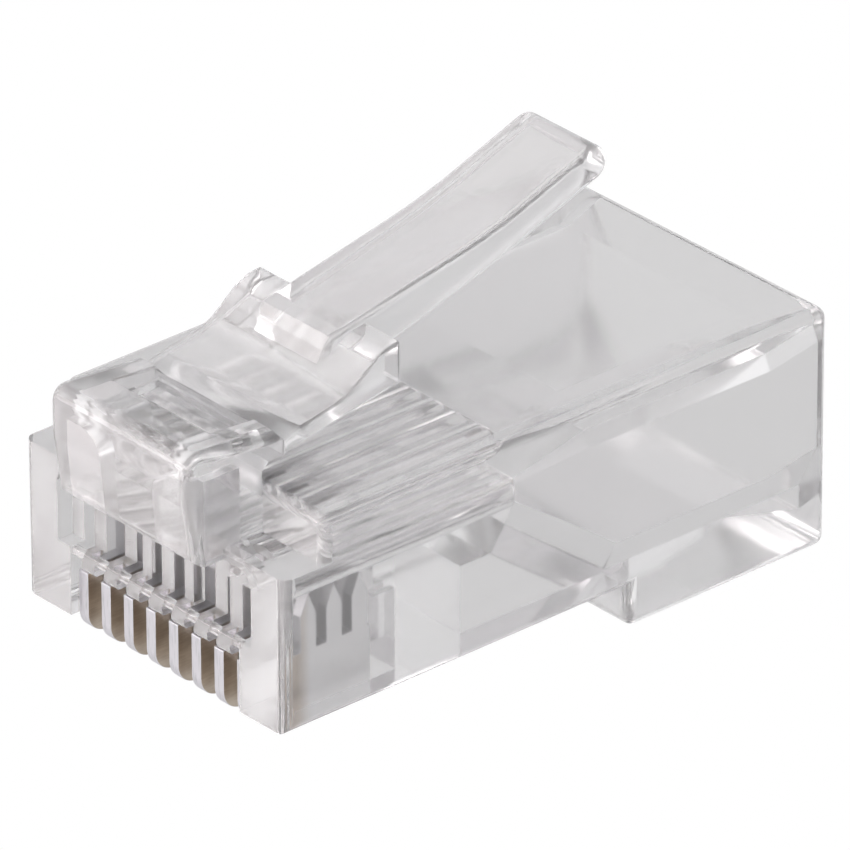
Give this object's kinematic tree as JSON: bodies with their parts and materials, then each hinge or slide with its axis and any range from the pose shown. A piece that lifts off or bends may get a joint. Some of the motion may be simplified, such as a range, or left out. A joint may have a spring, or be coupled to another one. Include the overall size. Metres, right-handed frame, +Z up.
{
  "type": "modular plug",
  "caption": "Clear modular plug, open and ready to crimp, with a sprung release latch, flat contact blades in a row and a strain relief bar at the cable cavity.",
  "frame": {"origin": "centre of the plug's outline, level with the flat underside of its deeper rear section", "axes": "+Z up through the latch, +Y from the mating face towards the cable mouth, +X across the plug"},
  "size_m": [0.0116, 0.0226, 0.0135],
  "materials": {
    "clear_shell": "gloss",
    "contact_metal": "polished"
  },
  "bodies": {
    "shell": {"housing": "clear_shell"},
    "latch": {"latch_tab": "clear_shell"},
    "bar": {"strain_relief_bar": "clear_shell"},
    "contact_1": {"contact_1": "contact_metal"},
    "contact_2": {"contact_2": "contact_metal"},
    "contact_3": {"contact_3": "contact_metal"},
    "contact_4": {"contact_4": "contact_metal"},
    "contact_5": {"contact_5": "contact_metal"},
    "contact_6": {"contact_6": "contact_metal"},
    "contact_7": {"contact_7": "contact_metal"},
    "contact_8": {"contact_8": "contact_metal"}
  },
  "joints": [
    {"name": "latch_press", "type": "hinge", "parent": "shell", "child": "latch", "pos_m": [0, -0.0076, 0.00872], "axis": [-1, 0, 0], "range_deg": [0, 16], "stiffness_Nm_per_rad": 0.15},
    {"name": "bar_crimp", "type": "hinge", "parent": "shell", "child": "bar", "pos_m": [0, 0.00445, 0.0015], "axis": [-1, 0, 0], "range_deg": [0, 20]},
    {"name": "contact_1_crimp", "type": "slide", "parent": "shell", "child": "contact_1", "axis": [0, 0, 1], "range_m": [0, 0.00085]},
    {"name": "contact_2_crimp", "type": "slide", "parent": "shell", "child": "contact_2", "axis": [0, 0, 1], "range_m": [0, 0.00085]},
    {"name": "contact_3_crimp", "type": "slide", "parent": "shell", "child": "contact_3", "axis": [0, 0, 1], "range_m": [0, 0.00085]},
    {"name": "contact_4_crimp", "type": "slide", "parent": "shell", "child": "contact_4", "axis": [0, 0, 1], "range_m": [0, 0.00085]},
    {"name": "contact_5_crimp", "type": "slide", "parent": "shell", "child": "contact_5", "axis": [0, 0, 1], "range_m": [0, 0.00085]},
    {"name": "contact_6_crimp", "type": "slide", "parent": "shell", "child": "contact_6", "axis": [0, 0, 1], "range_m": [0, 0.00085]},
    {"name": "contact_7_crimp", "type": "slide", "parent": "shell", "child": "contact_7", "axis": [0, 0, 1], "range_m": [0, 0.00085]},
    {"name": "contact_8_crimp", "type": "slide", "parent": "shell", "child": "contact_8", "axis": [0, 0, 1], "range_m": [0, 0.00085]}
  ]
}
